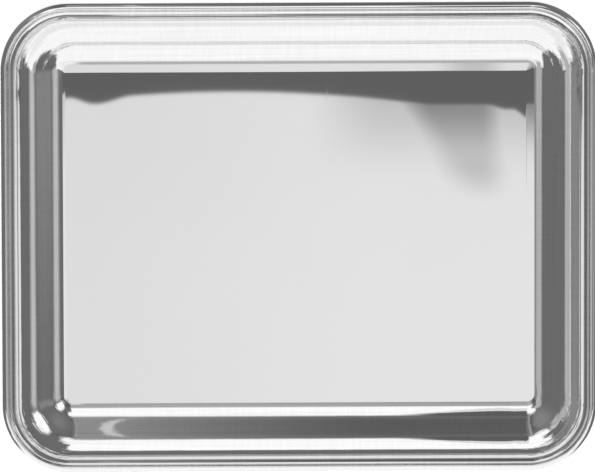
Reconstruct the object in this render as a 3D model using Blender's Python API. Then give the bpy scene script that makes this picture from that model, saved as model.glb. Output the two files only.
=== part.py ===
"""A shallow rectangular tray of polished sheet metal with a reeded border.

The pan is one pressed sheet: a flat floor, a double-curved side (hollow at the foot,
rounded at the shoulder) and a level flange. Three border members lie on and beside
the flange: a flat fillet, a middle reed and an outer reed that caps the sheet's edge.
Every member is one closed ring swept round the same rounded rectangle.

Metres, +Z up, +X along the long side. The origin is the middle of the underside.
"""

import math

import bmesh
import bpy

MM = 0.001

# Driving dimensions
LENGTH = 240.0 * MM
WIDTH = 192.2 * MM
CORNER_RADIUS = 27.5 * MM
SHEET = 1.0 * MM
FLANGE_HEIGHT = 9.4 * MM  # top of the flange above the underside
SIDE_SPAN = 24.9 * MM  # outer edge to floor, measured across the short sides
LONG_SIDE_EXTRA = 1.5 * MM  # the foot of the long sides runs this much further in
LONG_FOOT_POWER = 8  # how near the floor that extra run is taken up
FLOOR_CORNER_RADIUS = 3.2 * MM
CORNER_FULLNESS = 2.0 * MM  # extra corner radius half way down the side

# Side of the pan: a convex shoulder, then a hollow that meets the floor at a crease
SHOULDER_START = 6.9 * MM
START_TILT = math.radians(2.0)
STEEPEST_AT = 17.2 * MM
STEEPEST_TILT = math.radians(43.0)

# Border members, each with a start and an end measured in from the outer edge
GAP = 0.3 * MM
REED_PITCH = 2.4 * MM
OUTER_REED_FOOT = 7.7 * MM
OUTER_REED_TOP = 10.9 * MM
MIDDLE_REED_RISE = 0.95 * MM
FILLET_WIDTH = 1.8 * MM
FILLET_RISE = 0.75 * MM
FILLET_BEVEL = 0.2 * MM

CORNER_STEPS = 10
SHOULDER_STEPS = 7
HOLLOW_STEPS = 6
REED_STEPS = 8


def clear_scene():
    for thing in list(bpy.data.objects):
        bpy.data.objects.remove(thing, do_unlink=True)


def polished_metal(name, colour, roughness):
    material = bpy.data.materials.new(name)
    material.use_nodes = True
    shader = material.node_tree.nodes["Principled BSDF"]
    shader.inputs["Base Color"].default_value = (*colour, 1.0)
    shader.inputs["Metallic"].default_value = 1.0
    shader.inputs["Roughness"].default_value = roughness
    material.diffuse_color = (*colour, 1.0)
    return material


def side_share(inset):
    """How far a point of the side has gone from the border (0) to the floor (1)."""
    run = (inset - SHOULDER_START) / (SIDE_SPAN - SHOULDER_START)
    return min(max(run, 0.0), 1.0)


def ring(inset, height):
    """Corners of the rounded rectangle that lies this far in from the outer edge."""
    half_x = LENGTH / 2 - inset
    half_y = WIDTH / 2 - inset - LONG_SIDE_EXTRA * side_share(inset) ** LONG_FOOT_POWER
    radius = CORNER_RADIUS + (FLOOR_CORNER_RADIUS - CORNER_RADIUS) * inset / SIDE_SPAN
    radius += CORNER_FULLNESS * math.sin(math.pi * side_share(inset)) ** 2
    points = []
    for quarter in range(4):
        towards_x = 1 if quarter in (0, 3) else -1
        towards_y = 1 if quarter in (0, 1) else -1
        for step in range(CORNER_STEPS + 1):
            angle = math.pi / 2 * (quarter + step / CORNER_STEPS)
            x = towards_x * (half_x - radius) + radius * math.cos(angle)
            y = towards_y * (half_y - radius) + radius * math.sin(angle)
            points.append((x, y, height))
    return points


def add_object(name, mesh_data, material):
    mesh = bpy.data.meshes.new(name)
    bmesh.ops.recalc_face_normals(mesh_data, faces=mesh_data.faces)
    mesh_data.to_mesh(mesh)
    mesh_data.free()
    mesh.materials.append(material)
    mesh.shade_smooth()
    mesh.set_sharp_from_angle(angle=math.radians(30.0))
    thing = bpy.data.objects.new(name, mesh)
    bpy.context.scene.collection.objects.link(thing)
    return thing


def sweep(section, closed):
    """Rings of faces between successive points of a section given as (inset, height)."""
    mesh_data = bmesh.new()
    rings = []
    for inset, height in section:
        rings.append([mesh_data.verts.new(point) for point in ring(inset, height)])
    pairs = list(zip(rings, rings[1:]))
    if closed:
        pairs.append((rings[-1], rings[0]))
    for first, second in pairs:
        count = len(first)
        for i in range(count):
            j = (i + 1) % count
            mesh_data.faces.new((first[i], first[j], second[j], second[i]))
    if not closed:
        mesh_data.faces.new(rings[0])
        mesh_data.faces.new(rings[-1])
    return mesh_data


def side_curve():
    """The pan's upper surface from the shoulder to the floor, as (inset, height, tilt)."""
    sine_gain = math.sin(STEEPEST_TILT) - math.sin(START_TILT)
    shoulder_radius = (STEEPEST_AT - SHOULDER_START) / sine_gain
    shoulder_drop = shoulder_radius * (math.cos(START_TILT) - math.cos(STEEPEST_TILT))
    drop_left = FLANGE_HEIGHT - SHEET - shoulder_drop
    span_left = SIDE_SPAN - STEEPEST_AT
    # An arc that spans span_left while it drops drop_left turns by twice the
    # difference between the steepest tilt and the tilt of its chord.
    foot_tilt = 2 * math.atan2(drop_left, span_left) - STEEPEST_TILT
    hollow_radius = span_left / (math.sin(STEEPEST_TILT) - math.sin(foot_tilt))
    points = []
    for step in range(SHOULDER_STEPS + 1):
        tilt = START_TILT + (STEEPEST_TILT - START_TILT) * step / SHOULDER_STEPS
        inset = SHOULDER_START + shoulder_radius * (math.sin(tilt) - math.sin(START_TILT))
        height = FLANGE_HEIGHT - shoulder_radius * (math.cos(START_TILT) - math.cos(tilt))
        points.append((inset, height, tilt))
    for step in range(1, HOLLOW_STEPS + 1):
        tilt = STEEPEST_TILT + (foot_tilt - STEEPEST_TILT) * step / HOLLOW_STEPS
        inset = SIDE_SPAN - hollow_radius * (math.sin(tilt) - math.sin(foot_tilt))
        height = SHEET + hollow_radius * (math.cos(foot_tilt) - math.cos(tilt))
        points.append((inset, height, tilt))
    return points


def make_pan(material):
    """One sheet: its upper surface, and the same curve a sheet's thickness below."""
    curve = side_curve()
    flange_edge = REED_PITCH + GAP / 2
    upper = [(flange_edge, FLANGE_HEIGHT)]
    upper += [(inset, height) for inset, height, tilt in curve]
    lower = [(flange_edge, FLANGE_HEIGHT - SHEET)]
    for inset, height, tilt in curve[:-1]:
        lower.append((inset - SHEET * math.sin(tilt), height - SHEET * math.cos(tilt)))
    foot_tilt = curve[-1][2]
    lower.append((SIDE_SPAN - SHEET * math.tan(foot_tilt / 2), 0.0))
    section = upper[::-1] + lower
    return add_object("tray_pan", sweep(section, closed=False), material)


def make_outer_reed(material):
    """A half-round wire with a deep outer flank that hides the cut edge of the sheet."""
    half = (REED_PITCH - GAP / 2) / 2
    section = [(0.0, OUTER_REED_FOOT + half / 2), (half / 2, OUTER_REED_FOOT)]
    section += [(2 * half, OUTER_REED_FOOT)]
    for step in range(REED_STEPS + 1):
        angle = math.pi * step / REED_STEPS
        section.append((half + half * math.cos(angle), OUTER_REED_TOP - half + half * math.sin(angle)))
    return add_object("outer_reed", sweep(section, closed=True), material)


def make_middle_reed(material):
    """A half-round wire lying on the flange."""
    foot = FLANGE_HEIGHT + GAP
    start, end = REED_PITCH + GAP / 2, 2 * REED_PITCH - GAP / 2
    middle, half = (start + end) / 2, (end - start) / 2
    section = []
    for step in range(REED_STEPS + 1):
        angle = math.pi * step / REED_STEPS
        height = foot + MIDDLE_REED_RISE * math.sin(angle)
        section.append((middle + half * math.cos(angle), height))
    return add_object("middle_reed", sweep(section, closed=True), material)


def make_inner_fillet(material):
    """A flat strip with eased upper edges, between the middle reed and the shoulder."""
    foot, top = FLANGE_HEIGHT + GAP, FLANGE_HEIGHT + FILLET_RISE
    start = 2 * REED_PITCH + GAP / 2
    end = start + FILLET_WIDTH
    section = [
        (start, foot),
        (start, top - FILLET_BEVEL),
        (start + FILLET_BEVEL, top),
        (end - FILLET_BEVEL, top),
        (end, top - FILLET_BEVEL),
        (end, foot),
    ]
    return add_object("inner_fillet", sweep(section, closed=True), material)


def main():
    clear_scene()
    make_pan(polished_metal("pan_metal", (0.86, 0.86, 0.86), 0.06))
    make_outer_reed(polished_metal("outer_reed_metal", (0.87, 0.87, 0.87), 0.08))
    make_middle_reed(polished_metal("middle_reed_metal", (0.87, 0.87, 0.87), 0.08))
    make_inner_fillet(polished_metal("inner_fillet_metal", (0.87, 0.87, 0.87), 0.08))


main()
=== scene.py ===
"""Looks for the polished tray: finely swept metal, a light tent and the camera.

Everything is in metres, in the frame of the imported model: the origin is the middle of
the underside, +Z up and +X along the long side.
"""

import math
from functools import reduce

import bmesh
import bpy
from mathutils import Matrix, Vector


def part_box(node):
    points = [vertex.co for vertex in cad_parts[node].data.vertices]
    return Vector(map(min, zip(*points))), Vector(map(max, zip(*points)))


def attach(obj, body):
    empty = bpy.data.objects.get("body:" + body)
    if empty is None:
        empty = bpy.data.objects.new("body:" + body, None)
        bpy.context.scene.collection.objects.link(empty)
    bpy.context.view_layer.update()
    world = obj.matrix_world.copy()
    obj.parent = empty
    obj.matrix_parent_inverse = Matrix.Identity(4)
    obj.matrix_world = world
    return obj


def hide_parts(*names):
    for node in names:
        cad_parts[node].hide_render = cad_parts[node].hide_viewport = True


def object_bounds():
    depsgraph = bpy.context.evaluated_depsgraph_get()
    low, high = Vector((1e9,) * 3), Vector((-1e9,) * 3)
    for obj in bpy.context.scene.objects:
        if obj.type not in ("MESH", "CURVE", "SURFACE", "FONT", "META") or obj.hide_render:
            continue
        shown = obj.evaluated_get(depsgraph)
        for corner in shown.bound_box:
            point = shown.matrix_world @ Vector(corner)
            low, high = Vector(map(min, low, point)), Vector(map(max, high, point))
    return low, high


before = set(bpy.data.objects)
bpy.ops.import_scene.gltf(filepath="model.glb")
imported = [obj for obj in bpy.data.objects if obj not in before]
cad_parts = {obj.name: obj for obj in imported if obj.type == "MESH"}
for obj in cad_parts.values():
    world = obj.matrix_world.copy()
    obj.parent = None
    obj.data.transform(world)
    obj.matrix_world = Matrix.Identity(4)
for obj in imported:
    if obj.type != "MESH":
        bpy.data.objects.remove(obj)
cad_low, cad_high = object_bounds()

MM = 0.001
TAU = 2 * math.pi

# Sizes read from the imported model
LENGTH = cad_high.x - cad_low.x
WIDTH = cad_high.y - cad_low.y
TOP = cad_high.z
PAN_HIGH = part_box("tray_pan")[1]
FLANGE = PAN_HIGH.z  # upper face of the flange
FLANGE_EDGE = cad_high.x - PAN_HIGH.x
REED_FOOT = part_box("outer_reed")[0].z

# Plan of the tray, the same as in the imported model
CORNER_RADIUS = 27.5 * MM
FLOOR_CORNER_RADIUS = 3.2 * MM
LEAST_CORNER_RADIUS = 0.4 * MM  # for the rings inside the crease
SHEET = 1.0 * MM
SIDE_SPAN = 24.9 * MM  # outer edge to floor, measured across the short sides
LONG_SIDE_EXTRA = 1.5 * MM  # the foot of the long sides runs this much further in
LONG_FOOT_POWER = 8  # how near the floor that extra run is taken up
CORNER_FULLNESS = 2.0 * MM  # extra corner radius half way down the side
LEFT_MARGIN_SHARE = 0.34  # width of the floor's margin on the left, against elsewhere

# Side of the pan: a convex shoulder, then a hollow that meets the floor at a crease
SHOULDER_START = 6.9 * MM
START_TILT = math.radians(2.0)
STEEPEST_AT = 17.2 * MM
STEEPEST_TILT = math.radians(43.0)

# Fineness of the swept surfaces
CORNER_STEPS = 40
SHOULDER_STEPS = 36
HOLLOW_STEPS = 30
ROUND_STEPS = 28
FALL_STEPS = 10
TURN_STEPS = 6

# Inset that the UV map gives to the middle of the floor and underside, in millimetres
FLAT_INSET = 40.0


# ---------------------------------------------------------------- shape


def side_share(inset):
    """How far a point of the side has gone from the border (0) to the floor (1)."""
    run = (inset - SHOULDER_START) / (SIDE_SPAN - SHOULDER_START)
    return min(max(run, 0.0), 1.0)


def ring(inset, height):
    """Corners of the rounded rectangle that lies this far in from the outer edge.

    Past the crease the rings lie closer together on the left, where the margin is narrow.
    """
    past_crease = max(inset - SIDE_SPAN, 0.0)
    half_right = LENGTH / 2 - inset
    half_left = half_right + past_crease * (1 - LEFT_MARGIN_SHARE)
    half_y = WIDTH / 2 - inset - LONG_SIDE_EXTRA * side_share(inset) ** LONG_FOOT_POWER
    radius = CORNER_RADIUS + (FLOOR_CORNER_RADIUS - CORNER_RADIUS) * inset / SIDE_SPAN
    radius += CORNER_FULLNESS * math.sin(math.pi * side_share(inset)) ** 2
    radius = max(radius, LEAST_CORNER_RADIUS)
    points = []
    for quarter in range(4):
        towards_x = 1 if quarter in (0, 3) else -1
        towards_y = 1 if quarter in (0, 1) else -1
        half_x = half_right if towards_x > 0 else half_left
        for step in range(CORNER_STEPS + 1):
            angle = TAU / 4 * (quarter + step / CORNER_STEPS)
            x = towards_x * (half_x - radius) + radius * math.cos(angle)
            y = towards_y * (half_y - radius) + radius * math.sin(angle)
            points.append((x, y, height))
    return points


def sweep(section, closed, sharp):
    """A mesh through the rings at successive (inset, height) points of a section.

    Rings whose place in the section is in sharp keep a hard edge. The UV map holds the
    run along the border and the inset, both in millimetres.
    """
    mesh_data = bmesh.new()
    uv = mesh_data.loops.layers.uv.new("run")
    outline = [Vector(point) for point in ring(0.0, 0.0)]
    run = [0.0]
    for i, point in enumerate(outline):
        run.append(run[-1] + (outline[(i + 1) % len(outline)] - point).length)
    rings = []
    for inset, height in section:
        rings.append([mesh_data.verts.new(point) for point in ring(inset, height)])
    count = len(rings)
    for k in range(count if closed else count - 1):
        first, second = rings[k], rings[(k + 1) % count]
        insets = (section[k][0], section[(k + 1) % count][0])
        for i in range(len(first)):
            j = (i + 1) % len(first)
            face = mesh_data.faces.new((first[i], first[j], second[j], second[i]))
            corners = ((i, 0), (i + 1, 0), (i + 1, 1), (i, 1))
            for loop, (along, side) in zip(face.loops, corners):
                loop[uv].uv = (run[along] / MM, insets[side] / MM)
    if not closed:
        for cap in (rings[0], rings[-1]):
            for loop in mesh_data.faces.new(cap).loops:
                loop[uv].uv = (loop.vert.co.x / MM, FLAT_INSET)
    for place in sharp:
        for i, vert in enumerate(rings[place]):
            other = rings[place][(i + 1) % len(rings[place])]
            mesh_data.edges.get((vert, other)).smooth = False
    bmesh.ops.recalc_face_normals(mesh_data, faces=mesh_data.faces)
    return mesh_data


def add_piece(name, mesh_data, material, node):
    """Makes the object, stands it in for its CAD node and lets it ride on the tray."""
    mesh = bpy.data.meshes.new(name)
    for face in mesh_data.faces:
        face.smooth = True
    mesh_data.to_mesh(mesh)
    mesh_data.free()
    mesh.materials.append(material)
    piece = bpy.data.objects.new(name, mesh)
    bpy.context.scene.collection.objects.link(piece)
    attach(piece, "root")
    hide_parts(node)


def side_curve():
    """The pan's upper surface from the shoulder to the floor, as (inset, height, tilt)."""
    sine_gain = math.sin(STEEPEST_TILT) - math.sin(START_TILT)
    shoulder_radius = (STEEPEST_AT - SHOULDER_START) / sine_gain
    shoulder_drop = shoulder_radius * (math.cos(START_TILT) - math.cos(STEEPEST_TILT))
    drop_left = FLANGE - SHEET - shoulder_drop
    span_left = SIDE_SPAN - STEEPEST_AT
    foot_tilt = 2 * math.atan2(drop_left, span_left) - STEEPEST_TILT
    hollow_radius = span_left / (math.sin(STEEPEST_TILT) - math.sin(foot_tilt))
    points = []
    for step in range(SHOULDER_STEPS + 1):
        tilt = START_TILT + (STEEPEST_TILT - START_TILT) * step / SHOULDER_STEPS
        inset = SHOULDER_START + shoulder_radius * (math.sin(tilt) - math.sin(START_TILT))
        height = FLANGE - shoulder_radius * (math.cos(START_TILT) - math.cos(tilt))
        points.append((inset, height, tilt))
    for step in range(1, HOLLOW_STEPS + 1):
        tilt = STEEPEST_TILT + (foot_tilt - STEEPEST_TILT) * step / HOLLOW_STEPS
        inset = SIDE_SPAN - hollow_radius * (math.sin(tilt) - math.sin(foot_tilt))
        height = SHEET + hollow_radius * (math.cos(foot_tilt) - math.cos(tilt))
        points.append((inset, height, tilt))
    return points


def floor_margin():
    """Where the floor turns up: its last few millimetres rise slightly to the crease."""
    width, turn_width, tilt = 3.55 * MM, 0.5 * MM, math.radians(1.2)
    start = SIDE_SPAN + width - turn_width
    level = SHEET - tilt * (width - turn_width / 2)
    points = []
    for step in range(TURN_STEPS + 1):
        share = step / TURN_STEPS
        rise = tilt * turn_width / 2 * (1 - share) ** 2
        points.append((start + turn_width * share, level + rise))
    return points


def make_pan(material):
    """The pressed sheet: floor, side and flange, and the same curve a thickness below."""
    curve = side_curve()
    floor = floor_margin()
    upper = [(FLANGE_EDGE, FLANGE)] + [(inset, height) for inset, height, tilt in curve]
    crease = len(floor)
    lower = [(FLANGE_EDGE, FLANGE - SHEET)]
    for inset, height, tilt in curve[:-1]:
        lower.append((inset - SHEET * math.sin(tilt), height - SHEET * math.cos(tilt)))
    lower.append((SIDE_SPAN - SHEET * math.tan(curve[-1][2] / 2), 0.0))
    section = floor[::-1] + upper[::-1] + lower
    flange_top = crease + len(upper) - 1
    sharp = (crease, flange_top, flange_top + 1, len(section) - 1)
    mesh_data = sweep(section, closed=False, sharp=sharp)
    add_piece("pan_skin", mesh_data, material, "tray_pan")


def make_outer_reed(material):
    """Quarter-round outer edge with its crown well in, and a short fall to the groove."""
    crown, end, ease, fall = 2.1 * MM, 2.5 * MM, 0.5 * MM, math.radians(40)
    section = [(end, REED_FOOT), (ease, REED_FOOT), (0.0, REED_FOOT + ease)]
    for step in range(ROUND_STEPS + 1):
        angle = TAU / 4 * step / ROUND_STEPS
        inset = crown - crown * math.cos(angle)
        section.append((inset, TOP - crown + crown * math.sin(angle)))
    fall_radius = (end - crown) / math.sin(fall)
    for step in range(1, FALL_STEPS + 1):
        angle = fall * step / FALL_STEPS
        inset = crown + fall_radius * math.sin(angle)
        section.append((inset, TOP - fall_radius * (1 - math.cos(angle))))
    mesh_data = sweep(section, closed=True, sharp=(0, len(section) - 1))
    add_piece("outer_wire", mesh_data, material, "outer_reed")


def make_middle_reed(material):
    """A half-round wire with its crown a little towards the outer edge."""
    start, end, lean = 2.56 * MM, 4.86 * MM, -0.12
    low, foot, rise = FLANGE + 0.05 * MM, FLANGE + 0.3 * MM, 0.95 * MM
    section = [(end, low), (start, low)]
    for step in range(ROUND_STEPS + 1):
        share = step / ROUND_STEPS
        swell = math.sin(math.pi * share)
        inset = start + (end - start) * (share + lean * swell ** 2)
        section.append((inset, foot + rise * swell))
    mesh_data = sweep(section, closed=True, sharp=(0, 1, 2, len(section) - 1))
    add_piece("middle_wire", mesh_data, material, "middle_reed")


def make_inner_fillet(material):
    """A strip that is flat but for its rounded edges and a very slight crown."""
    start, end, ease, crown = 5.0 * MM, 6.78 * MM, 0.25 * MM, 0.02 * MM
    low, top = FLANGE + 0.02 * MM, FLANGE + 0.55 * MM
    section = [(end, low), (start, low), (start, top - ease)]
    for step in range(1, ROUND_STEPS + 1):
        share = step / ROUND_STEPS
        inset = start + (end - start) * share
        bow = 1 - (2 * share - 1) ** 14
        section.append((inset, top - ease + ease * bow + crown * math.sin(math.pi * share)))
    mesh_data = sweep(section, closed=True, sharp=(0, 1, 2, len(section) - 1))
    add_piece("fillet_strip", mesh_data, material, "inner_fillet")


# ------------------------------------------------------------ materials


WHITE = (1.0, 1.0, 1.0, 1.0)


def linear(grey):
    """Linear light for a display grey from 0 to 255."""
    share = grey / 255
    return share / 12.92 if share <= 0.04045 else ((share + 0.055) / 1.055) ** 2.4


class Sheet:
    """Small helper that adds linked shader nodes to a tree."""

    def __init__(self, tree):
        self.nodes, self.links = tree.nodes, tree.links
        self.nodes.clear()

    def add(self, kind, *inputs, **settings):
        """A node with its inputs in order, as values or links; None leaves one alone."""
        node = self.nodes.new(kind)
        for key, value in settings.items():
            setattr(node, key, value)
        for place, value in enumerate(inputs):
            if value is None:
                continue
            if isinstance(value, bpy.types.NodeSocket):
                self.links.new(value, node.inputs[place])
            else:
                node.inputs[place].default_value = value
        return node

    def math(self, operation, *inputs):
        return self.add("ShaderNodeMath", *inputs, operation=operation).outputs[0]

    def plus(self, *terms):
        return reduce(lambda sum_so_far, term: self.math("ADD", sum_so_far, term), terms)

    def minus(self, value, less):
        return self.math("SUBTRACT", value, less)

    def times(self, *factors):
        return reduce(lambda product, factor: self.math("MULTIPLY", product, factor), factors)

    def largest(self, *values):
        return reduce(lambda most, value: self.math("MAXIMUM", most, value), values)

    def ramp(self, value, start, end):
        """Smoothly 0 at start and 1 at end."""
        node = self.add("ShaderNodeMapRange", value, start, end, 0.0, 1.0)
        node.interpolation_type = "SMOOTHSTEP"
        return node.outputs[0]

    def dip(self, value, middle, half):
        """Smoothly 1 at the middle and 0 beyond half either side."""
        off = self.math("ABSOLUTE", self.minus(value, middle))
        return self.ramp(off, half, half * 0.3)

    def noise(self, place, scale, detail, rough):
        """Noise from 0 to 1, finer where scale is larger."""
        spread = self.add("ShaderNodeVectorMath", place, scale, operation="MULTIPLY")
        node = self.add("ShaderNodeTexNoise", noise_dimensions="3D")
        self.links.new(spread.outputs[0], node.inputs["Vector"])
        node.inputs["Scale"].default_value = 1.0
        node.inputs["Detail"].default_value = detail
        node.inputs["Roughness"].default_value = rough
        return node.outputs[0]

    def mix(self, share, below, above):
        """below where share is 0, above where it is 1."""
        node = self.add("ShaderNodeMix", share, None, below, above, data_type="FLOAT")
        return node.outputs[0]


def polished_metal(name, roughness):
    """Mirror polish: rubbing lines, hairlines, smudges, painted shade in rougher grooves,
    wavy corners.

    roughness is that of the side and border. The floor and underside are smoother.
    """
    material = bpy.data.materials.new(name)
    material.use_nodes = True
    sheet = Sheet(material.node_tree)
    coords = sheet.add("ShaderNodeTexCoord")
    spot, run = coords.outputs["Object"], coords.outputs["UV"]
    inset = sheet.add("ShaderNodeSeparateXYZ", run).outputs[1]
    spot_x, spot_y, height = sheet.add("ShaderNodeSeparateXYZ", spot).outputs
    x_mm = sheet.math("DIVIDE", spot_x, MM)
    y_mm = sheet.math("DIVIDE", spot_y, MM)
    on_side = sheet.ramp(inset, 24.8, 24.0)  # 1 on the side and the border
    below = sheet.ramp(height, 0.5 * MM, 0.1 * MM)  # 1 on the underside

    # rubbing lines that follow the border, and much fainter ones on the floor
    along = sheet.noise(run, (1 / 80, 1.2, 1), 3, 0.7)
    crossing = sheet.noise(run, (0.7, 1 / 14, 1), 2, 0.6)
    ripple = sheet.noise(run, (1 / 16, 1 / 5, 1), 2, 0.5)
    side_lines = sheet.mix(0.3, along, crossing)
    floor_lines = sheet.noise(spot, (3, 420, 1), 3, 0.6)
    smudge = sheet.noise(spot, (28, 22, 20), 3, 0.5)
    hairs = sheet.ramp(sheet.noise(spot, (1100, 24, 1), 2, 0.5), 0.68, 0.78)

    lines = sheet.mix(on_side, floor_lines, side_lines)
    shade = sheet.times(sheet.mix(on_side, 0.014, 0.34), lines)
    shade = sheet.plus(shade, sheet.times(smudge, 0.02))
    grey = sheet.minus(sheet.mix(on_side, 0.917, 1.07), shade)

    # painted shade: darker lines in the grooves of the border and along the crease, as
    # lines of a given inset, half width and depth; the painted shade is left off the second
    # groove along part of the far side, and lies along the crease only on the left and the
    # near side
    second_groove = sheet.largest(
        sheet.ramp(x_mm, -27, 4), sheet.ramp(x_mm, -69, -80), sheet.ramp(y_mm, 84, 80)
    )
    second_groove = sheet.times(second_groove, 0.75)
    at_crease = sheet.times(sheet.ramp(x_mm, -92, -86), 0.95)
    near_side = sheet.ramp(y_mm, -60, -66)
    painted_groove_shade = 0.0
    for middle, half, depth in (
        (2.53, 0.25, 0.15),
        (4.85, 0.6, second_groove),
        (6.85, 0.2, 0.6),
        (24.6, 0.6, at_crease),
        (24.3, 0.75, near_side),
    ):
        line = sheet.times(sheet.dip(inset, middle, half), depth)
        painted_groove_shade = sheet.largest(painted_groove_shade, line)
    # painted shade: the colour falls to half its brightness along these lines
    grey = sheet.times(grey, sheet.mix(painted_groove_shade, 1.0, 0.5))

    gloss = sheet.plus(
        sheet.mix(on_side, 0.016, roughness),
        sheet.times(hairs, 0.02),
        sheet.times(painted_groove_shade, 0.15),
        sheet.times(below, 0.22),
    )

    # the corners are polished by hand and keep waves that follow the border
    past_x = sheet.ramp(sheet.math("ABSOLUTE", x_mm), 87, 99)
    past_y = sheet.ramp(sheet.math("ABSOLUTE", y_mm), 60, 74)
    waves = sheet.noise(run, (1 / 14, 1 / 1.6, 1), 3, 0.55)
    waves = sheet.times(waves, sheet.times(past_x, past_y), 5.5)
    relief = sheet.plus(sheet.times(side_lines, 0.12), ripple, waves)
    bump = sheet.add("ShaderNodeBump")
    bump.inputs["Strength"].default_value = 1.0
    bump.inputs["Distance"].default_value = 0.02 * MM
    sheet.links.new(sheet.times(relief, on_side), bump.inputs["Height"])

    shader = sheet.add("ShaderNodeBsdfPrincipled")
    shader.inputs["Metallic"].default_value = 1.0
    colour = sheet.add("ShaderNodeCombineXYZ", grey, grey, grey)
    sheet.links.new(colour.outputs[0], shader.inputs["Base Color"])
    sheet.links.new(gloss, shader.inputs["Roughness"])
    sheet.links.new(bump.outputs[0], shader.inputs["Normal"])
    sheet.add("ShaderNodeOutputMaterial", shader.outputs[0])
    return material


# --------------------------------------------------- stage, light, camera

METAL_REFLECTS = 0.9  # share of the light that the metal gives back
LEAN_BACK, LEAN_LEFT = math.radians(10.8), math.radians(0.6)  # of the line of sight
DISTANCE = 6.0  # from the tray to the camera
EYE_GREY = 0.9  # strength of the world where the camera sees it past the table

# Distances of the cards from the middle of the tray's underside, in millimetres
HIGH_CARD = 1200
LOW_CARD = 400
WALL_CARD = 600

# The light tent, as seen from the tray. Places are angles from straight up, in degrees,
# towards +X and +Y. Each panel: shape, centre, half size, edge softness, grey.
TENT_DARK = 106
TABLE_GREY = 250  # seen in faces that look down
PANELS = (
    ("round", (-52, 56), (30, 28), 0.90, 130),
    ("round", (58, 62), (24, 22), 0.90, 124),
    ("square", (77, -20), (33, 13), 0.40, 101),
    ("round", (-66, -30), (24, 20), 0.50, 106),
    ("square", (-8, 70), (18, 23), 0.40, 91),
    ("round", (46, -13), (7.5, 10), 0.70, 188),
    ("square", (-17.5, -5), (14, 8), 0.40, 134),
    ("square", (-4.8, 20.8), (8, 15.3), 0.12, 253),
    ("round", (-15.5, 28.5), (12, 8.5), 0.25, 253),
    ("round", (6, 31), (9, 8), 0.40, 250),
    ("round", (36, 12), (15, 13), 0.18, 253),
    ("square", (-2.5, -52), (47, 36), 0.05, 248),
    ("square", (-5, -100), (66, 32), 0.08, 246),
    ("square", (-1.5, -28), (28, 6), 0.60, 232),
    ("square", (3.5, -12.6), (6.3, 4.0), 0.10, 227),
)


def tent_light():
    """World light: the tent by direction for reflections, a plain pale grey to the eye."""
    world = bpy.data.worlds.new("light_tent")
    world.use_nodes = True
    bpy.context.scene.world = world
    sheet = Sheet(world.node_tree)
    place = sheet.add("ShaderNodeTexCoord").outputs["Generated"]
    split = sheet.add("ShaderNodeSeparateXYZ", place)
    height = sheet.math("MINIMUM", sheet.math("MAXIMUM", split.outputs[2], -1.0), 1.0)
    # the direction as a spot on a flat chart, in degrees from straight up
    from_top = sheet.math("DEGREES", sheet.math("ARCCOSINE", height))
    flat = sheet.add("ShaderNodeVectorMath", place, (1.0, 1.0, 0.0), operation="MULTIPLY")
    away = sheet.add("ShaderNodeVectorMath", flat.outputs[0], operation="NORMALIZE")
    spot = sheet.add("ShaderNodeVectorMath", away.outputs[0], operation="SCALE")
    sheet.links.new(from_top, spot.inputs["Scale"])
    light = linear(TENT_DARK)
    for shape, centre, half, softness, grey in PANELS:
        local = sheet.add("ShaderNodeMapping", spot.outputs[0], vector_type="TEXTURE")
        local.inputs["Location"].default_value = (*centre, 0.0)
        local.inputs["Scale"].default_value = (*half, 1.0)
        if shape == "round":
            far = sheet.add("ShaderNodeVectorMath", local.outputs[0], operation="LENGTH")
            far = far.outputs["Value"]
        else:
            sides = sheet.add("ShaderNodeVectorMath", local.outputs[0], operation="ABSOLUTE")
            sides = sheet.add("ShaderNodeSeparateXYZ", sides.outputs[0])
            far = sheet.largest(sides.outputs[0], sides.outputs[1])
        share = sheet.ramp(far, 1 + softness, 1 - softness)
        light = sheet.mix(share, light, linear(grey))
    light = sheet.mix(sheet.ramp(from_top, 125, 150), light, linear(TABLE_GREY))
    reflected = sheet.math("DIVIDE", light, METAL_REFLECTS)
    to_eye = sheet.add("ShaderNodeLightPath").outputs["Is Camera Ray"]
    strength = sheet.mix(to_eye, reflected, EYE_GREY)
    background = sheet.add("ShaderNodeBackground", WHITE, strength)
    sheet.add("ShaderNodeOutputWorld", background.outputs[0])


def reflected_card(name, centre, half, grey, cover, place, stands_along=None):
    """A card that only shows as a reflection in the metal, level or stood on edge.

    centre and half are its rectangle and cover(sheet, across, up) is how much of the
    light it replaces, with lengths in millimetres on the card. A level card has across
    along X and up along Y. A card that stands along "x" or "y" has across along that
    axis and up along Z.
    """
    mesh_data = bmesh.new()
    bmesh.ops.create_grid(mesh_data, x_segments=1, y_segments=1, size=1.0)
    size, shift = (half[0] * MM, half[1] * MM, 1.0), (centre[0] * MM, centre[1] * MM, 0.0)
    bmesh.ops.scale(mesh_data, verts=mesh_data.verts, vec=size)
    bmesh.ops.translate(mesh_data, verts=mesh_data.verts, vec=shift)
    mesh = bpy.data.meshes.new(name)
    mesh_data.to_mesh(mesh)
    mesh_data.free()
    material = bpy.data.materials.new(name)
    material.use_nodes = True
    sheet = Sheet(material.node_tree)
    spot = sheet.add("ShaderNodeTexCoord").outputs["Object"]
    split = sheet.add("ShaderNodeSeparateXYZ", spot)
    across = sheet.math("DIVIDE", split.outputs[0], MM)
    up = sheet.math("DIVIDE", split.outputs[1], MM)
    share = cover(sheet, across, up)
    clear = sheet.add("ShaderNodeBsdfTransparent", WHITE)
    glow = sheet.add("ShaderNodeEmission", WHITE, linear(grey) / METAL_REFLECTS)
    shade = sheet.add("ShaderNodeMixShader", share, clear.outputs[0], glow.outputs[0])
    sheet.add("ShaderNodeOutputMaterial", shade.outputs[0])
    mesh.materials.append(material)
    card = bpy.data.objects.new(name, mesh)
    card.location = [length * MM for length in place]
    if stands_along:
        card.rotation_euler = (TAU / 4, 0, TAU / 4 if stands_along == "y" else 0)
    card.visible_camera = card.visible_diffuse = card.visible_shadow = False
    bpy.context.scene.collection.objects.link(card)
    return card


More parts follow.
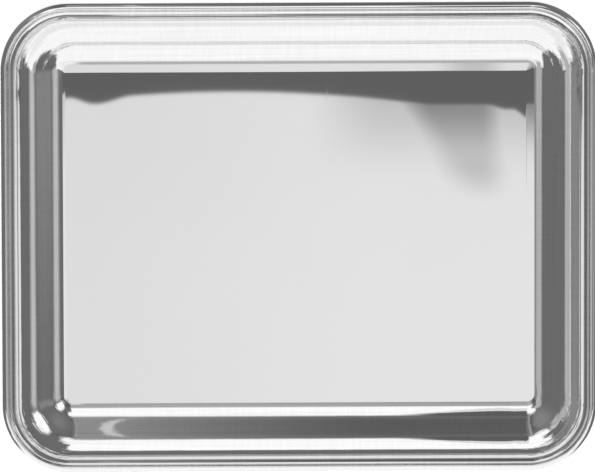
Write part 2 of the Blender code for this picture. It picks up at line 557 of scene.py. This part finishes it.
def dark_strip():
    """A dark strip overhead, seen along one long side of the floor, with a soft patch.

    It is laid out where the camera sees it on the floor, and carried up along the
    reflected lines of sight.
    """

    def cover(sheet, across, up):
        # lower edge of the strip: a shallow arch with a dip at its left end and two
        # steps down at its right end
        arch_x = sheet.math("MINIMUM", sheet.plus(across, 25), 77)
        arch_x = sheet.math("DIVIDE", arch_x, 45)
        dip = sheet.times(sheet.ramp(across, -90, -78), sheet.ramp(across, -65, -78))
        edge = sheet.plus(
            57.8,
            sheet.times(sheet.math("POWER", arch_x, 2), -2),
            sheet.times(sheet.ramp(across, -81, -91), 1.8),
            sheet.times(dip, -2.0),
            sheet.times(sheet.ramp(across, 75, 83), -1.6),
            sheet.times(sheet.ramp(across, 85, 93), -4.5),
        )
        strip = sheet.ramp(sheet.minus(up, edge), -1.2, 1.2)
        # patch below it, with a slanting left side
        slant = sheet.times(sheet.minus(47, up), 0.69)
        past_slant = sheet.minus(sheet.minus(across, 44), slant)
        sides = sheet.times(sheet.ramp(past_slant, -9, 12), sheet.ramp(across, 88, 72))
        lower = sheet.times(sheet.ramp(up, 10, 28), 0.38)
        upper = sheet.times(sheet.ramp(up, 30, 54), 0.40)
        patch = sheet.times(sides, sheet.plus(lower, upper))
        # haze over the rest of the floor
        haze = sheet.plus(
            sheet.times(sheet.ramp(across, 0, 36), sheet.ramp(up, 20, 58), 0.34),
            sheet.times(sheet.ramp(across, 40, -95), 0.07),
            sheet.times(sheet.ramp(up, -30, 50), 0.03),
        )
        return sheet.largest(strip, patch, haze)

    place = (HIGH_CARD * math.tan(LEAN_LEFT), -HIGH_CARD * math.tan(LEAN_BACK), HIGH_CARD)
    card = reflected_card("dark_strip", (0, 0), (115, 76), 94, cover, place)
    grow = 1 + HIGH_CARD * MM / (math.cos(LEAN_BACK) * DISTANCE)
    card.scale = (grow, grow, 1)


def left_lights():
    """A soft light panel beyond the left-hand side, and a brighter strip over its border."""

    def panel(sheet, across, up):
        sides = sheet.times(sheet.ramp(across, -123, -131), sheet.ramp(across, -345, -265))
        ends = sheet.times(sheet.ramp(up, 150, 90), sheet.ramp(up, -240, -180))
        return sheet.times(sides, ends)

    def strip(sheet, across, up):
        sides = sheet.times(sheet.ramp(across, -102, -108), sheet.ramp(across, -131, -123))
        return sheet.times(sides, sheet.ramp(up, 150, 90))

    place = (0, 0, LOW_CARD)
    reflected_card("left_panel", (-235, -50), (115, 210), 174, panel, place)
    reflected_card("left_strip", (-116, -50), (16, 210), 222, strip, place)


def right_glow():
    """A faint glow low beyond the right-hand side, fading towards both of its ends."""

    def cover(sheet, across, up):
        grow = sheet.times(sheet.ramp(across, -260, -60), sheet.ramp(across, 70, -50))
        return sheet.times(grow, sheet.ramp(up, 470, 380))

    place = (WALL_CARD, 0, 0)
    reflected_card("right_glow", (-150, 250), (250, 240), 131, cover, place, "y")


def far_glow():
    """Beyond the far side: a glow that fades towards +X, with a bright bow in it."""

    def cover(sheet, across, up):
        run = sheet.largest(sheet.math("DIVIDE", sheet.minus(45, across), 133), 0)
        glow = sheet.times(sheet.math("POWER", run, 1.5), 0.36)
        rise = sheet.math("DIVIDE", sheet.minus(up, 185), 730)
        lean = sheet.times(sheet.math("POWER", rise, 2), 16)
        bow = sheet.dip(sheet.minus(across, lean), -73, 4.5)
        bow = sheet.times(bow, sheet.ramp(up, 900, 500))
        return sheet.times(sheet.largest(glow, bow), sheet.ramp(across, -125, -95))

    place = (0, WALL_CARD, 0)
    reflected_card("far_glow", (0, 540), (125, 440), 200, cover, place, "x")


def far_dark():
    """A dark card above that swells the dark of the near side towards +X."""

    def cover(sheet, across, up):
        swell = sheet.times(sheet.ramp(across, 34, 92), sheet.ramp(across, 112, 91))
        past_edge = sheet.minus(up, 210)
        outer = sheet.ramp(sheet.plus(sheet.times(swell, 160), past_edge), -9, 9)
        inner = sheet.ramp(sheet.plus(sheet.times(swell, 95), past_edge), -9, 9)
        dark = sheet.plus(sheet.times(outer, 0.3), sheet.times(inner, 0.7))
        return sheet.times(dark, sheet.ramp(swell, 0, 0.5))

    reflected_card("far_dark", (76, 130), (44, 140), 91, cover, (0, 0, LOW_CARD))


def table_top():
    """The pale table, a hair below the tray. The metal reflects the tent, not the table."""
    mesh_data = bmesh.new()
    bmesh.ops.create_grid(mesh_data, x_segments=1, y_segments=1, size=8.0)
    mesh = bpy.data.meshes.new("table_top")
    mesh_data.to_mesh(mesh)
    mesh_data.free()
    material = bpy.data.materials.new("pale_table")
    material.use_nodes = True
    shader = material.node_tree.nodes["Principled BSDF"]
    shader.inputs["Base Color"].default_value = (0.86, 0.86, 0.86, 1.0)
    shader.inputs["Roughness"].default_value = 0.9
    mesh.materials.append(material)
    table = bpy.data.objects.new("table_top", mesh)
    table.location.z = -0.2 * MM
    table.visible_glossy = False
    bpy.context.scene.collection.objects.link(table)


def soft_sun():
    """Broad overhead light for the table. The metal doesn't reflect it."""
    lamp = bpy.data.lights.new("overhead", "SUN")
    lamp.energy = 4.5
    lamp.angle = math.radians(30)
    thing = bpy.data.objects.new("overhead", lamp)
    thing.rotation_euler = (-LEAN_BACK, -LEAN_LEFT, 0)
    thing.visible_glossy = False
    bpy.context.scene.collection.objects.link(thing)


def camera():
    """High above, a little towards +Y, with a long lens."""
    roll = math.radians(0.15)
    seen_width = 239.7 * MM
    aim = Vector((-0.67 * MM, 0.49 * MM, 10.0 * MM))
    back = Vector((-math.tan(LEAN_LEFT), math.tan(LEAN_BACK), 1)).normalized()
    right = Vector((0, 1, 0)).cross(back).normalized()
    up = back.cross(right)
    turned_up = up * math.cos(roll) + right * math.sin(roll)
    turned_right = right * math.cos(roll) - up * math.sin(roll)
    data = bpy.data.cameras.new("camera")
    data.sensor_width = 36.0
    data.lens = data.sensor_width * DISTANCE / seen_width
    data.clip_start, data.clip_end = 0.1, 30.0
    thing = bpy.data.objects.new("camera", data)
    axes = Matrix((turned_right, turned_up, back)).transposed().to_4x4()
    thing.matrix_world = Matrix.Translation(aim + back * DISTANCE) @ axes
    bpy.context.scene.collection.objects.link(thing)
    bpy.context.scene.camera = thing


def main():
    pan_metal = polished_metal("pan_polish", 0.028)
    border_metal = polished_metal("border_polish", 0.05)
    make_pan(pan_metal)
    make_outer_reed(border_metal)
    make_middle_reed(border_metal)
    make_inner_fillet(border_metal)
    table_top()
    tent_light()
    dark_strip()
    left_lights()
    right_glow()
    far_glow()
    far_dark()
    soft_sun()
    camera()
    bpy.context.scene.view_settings.view_transform = "Standard"


main()
